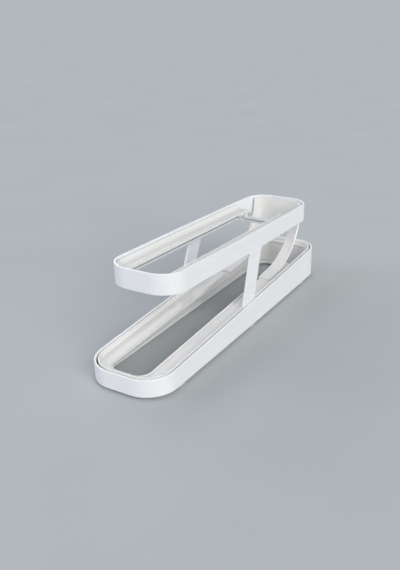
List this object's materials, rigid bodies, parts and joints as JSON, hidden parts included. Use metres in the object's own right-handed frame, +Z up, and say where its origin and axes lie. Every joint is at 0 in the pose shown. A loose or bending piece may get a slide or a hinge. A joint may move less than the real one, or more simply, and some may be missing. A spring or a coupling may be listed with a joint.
{
  "type": "rolling egg dispenser",
  "caption": "Two-tier gravity egg dispenser: round-ended base with a sloping slotted track, leaning side struts, narrower upper band with its own track, and a curved return slide at the rear.",
  "frame": {"origin": "middle of the outline in plan, level with the undersides of the feet", "axes": "+Z up, +Y from the low front end to the tall rear end, +X to the right seen from the front"},
  "size_m": [0.0874, 0.356, 0.1083],
  "materials": {
    "white_shell": "cool white moulded plastic with a satin sheen",
    "warm_track": "slightly warmer white moulded plastic, satin",
    "clear_grey": "milky translucent soft pad"
  },
  "bodies": {
    "base": {"base_shell": "white_shell", "foot_front_left": "clear_grey", "foot_front_right": "clear_grey", "foot_middle_left": "clear_grey", "foot_middle_right": "clear_grey", "foot_rear_left": "clear_grey", "foot_rear_right": "clear_grey"},
    "lower_track": {"lower_track": "warm_track"},
    "return_slide": {"return_slide": "warm_track"},
    "upper_frame": {"upper_frame": "white_shell"},
    "upper_track": {"upper_track": "warm_track"}
  },
  "joints": [
    {"name": "lower_track_lift", "type": "slide", "parent": "base", "child": "lower_track", "axis": [0, 0, 1], "range_m": [0, 0.045]},
    {"name": "return_slide_lift", "type": "slide", "parent": "lower_track", "child": "return_slide", "axis": [0, 0, 1], "range_m": [0, 0.075]},
    {"name": "upper_frame_lift", "type": "slide", "parent": "return_slide", "child": "upper_frame", "axis": [0, 0, 1], "range_m": [0, 0.09]},
    {"name": "upper_track_lift", "type": "slide", "parent": "upper_frame", "child": "upper_track", "axis": [0, 0, 1], "range_m": [0, 0.03]}
  ]
}
